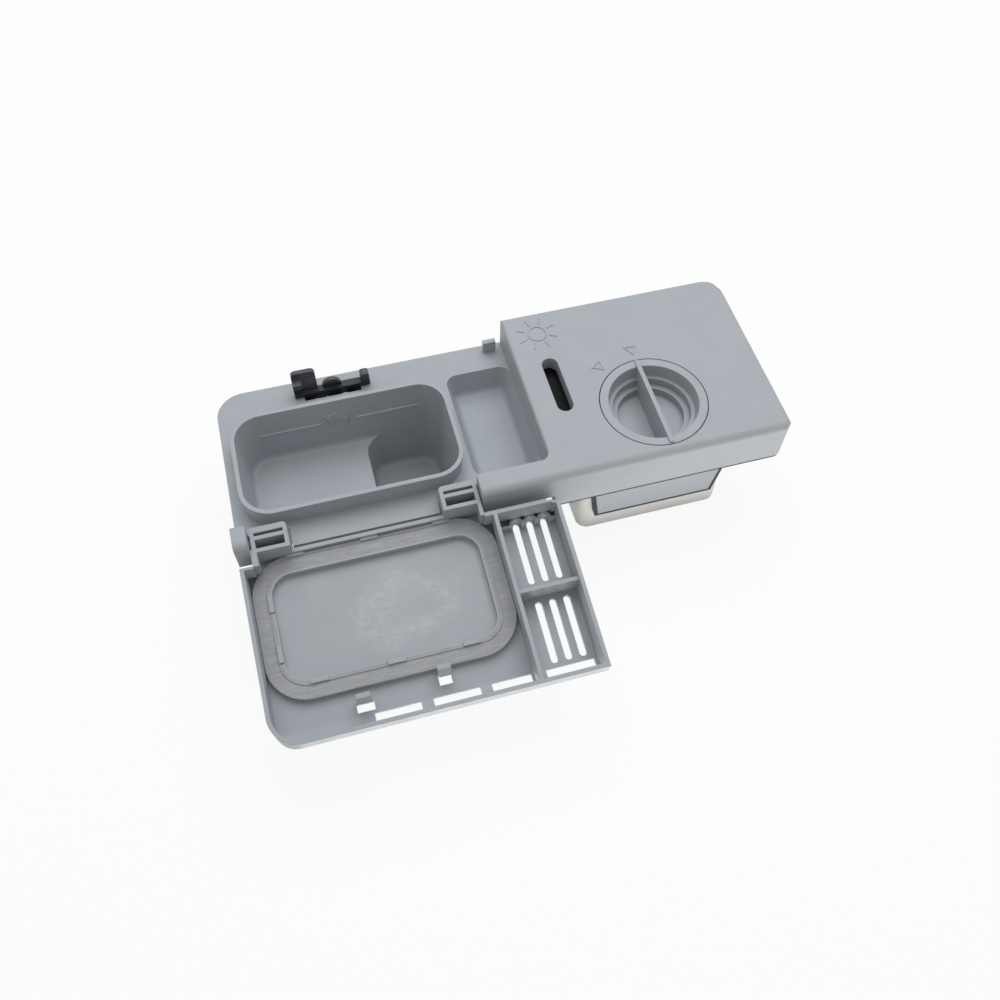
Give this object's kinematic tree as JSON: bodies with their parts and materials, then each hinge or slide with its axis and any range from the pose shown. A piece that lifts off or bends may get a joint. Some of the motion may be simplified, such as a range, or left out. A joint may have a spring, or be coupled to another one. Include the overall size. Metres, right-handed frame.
{
  "type": "dishwasher detergent dispenser",
  "caption": "Door insert for a dishwasher: detergent cup with hinged, gasketed lid and sprung latch, prewash recess, and a rinse-aid tank with a quarter-turn cap.",
  "frame": {"origin": "centre of the flange's rear seat, the plane that meets the door's inner sheet", "axes": "+X along the length towards the rinse-aid block, +Y towards the latch edge, +Z out of the face"},
  "size_m": [0.23, 0.1613, 0.0571],
  "materials": {
    "grey_plastic": "fine satin moulding",
    "gasket_rubber": "matt",
    "black_plastic": "satin",
    "tank_plastic": "natural translucent moulding",
    "smoked_window": "polished",
    "steel": "zinc plated",
    "winding": "taped winding",
    "bobbin": "moulded nylon",
    "black_rubber": "matt"
  },
  "bodies": {
    "body": {"housing": "grey_plastic", "door_seal": "black_rubber", "tank_shell": "tank_plastic", "apron_seal": "black_rubber", "level_window": "smoked_window", "latch_pin": "steel", "latch_spring": "steel", "solenoid_bobbin": "bobbin", "solenoid_coil": "winding", "solenoid_yoke": "steel", "coil_terminals": "steel", "yoke_screws": "steel", "lever_pin": "steel", "valve_spring": "steel", "valve_seal": "black_rubber"},
    "lid": {"lid": "grey_plastic", "lid_gasket": "gasket_rubber"},
    "latch": {"latch_lever": "black_plastic"},
    "cap": {"rinse_cap": "grey_plastic", "cap_seal": "black_rubber"},
    "plunger": {"plunger": "steel"},
    "dosing_lever": {"transfer_lever": "black_plastic"},
    "dosing_valve": {"valve_stem": "black_plastic"}
  },
  "joints": [
    {"name": "lid_hinge", "type": "hinge", "parent": "body", "child": "lid", "pos_m": [-0.063, -0.0374, 0.0104], "axis": [-1, 0, 0], "range_deg": [0, 189.2]},
    {"name": "latch_pivot", "type": "hinge", "parent": "body", "child": "latch", "pos_m": [-0.0695, 0.0355, -0.0013], "axis": [1, 0, 0], "range_deg": [0, 8], "deforming": ["latch_spring"]},
    {"name": "cap_turn", "type": "hinge", "parent": "body", "child": "cap", "pos_m": [0.0635, -0.0168, 0.0172], "axis": [0, 0, 1], "range_deg": [0, 36]},
    {"name": "plunger_slide", "type": "slide", "parent": "body", "child": "plunger", "axis": [0, 1, 0], "range_m": [0, 0.0034]},
    {"name": "dosing_lever_turn", "type": "hinge", "parent": "body", "child": "dosing_lever", "pos_m": [-0.019, 0.0336, -0.0278], "axis": [0, 0, -1], "range_deg": [0, 5]},
    {"name": "dosing_valve_slide", "type": "slide", "parent": "body", "child": "dosing_valve", "axis": [0, -1, 0], "range_m": [0, 0.0026], "deforming": ["valve_spring"]}
  ],
  "couplings": [
    {"joint": "latch_pivot", "follows": "plunger_slide", "rad_per_m": 41.067},
    {"joint": "dosing_lever_turn", "follows": "plunger_slide", "rad_per_m": 25.667},
    {"joint": "dosing_valve_slide", "follows": "plunger_slide", "ratio": 0.76471}
  ]
}
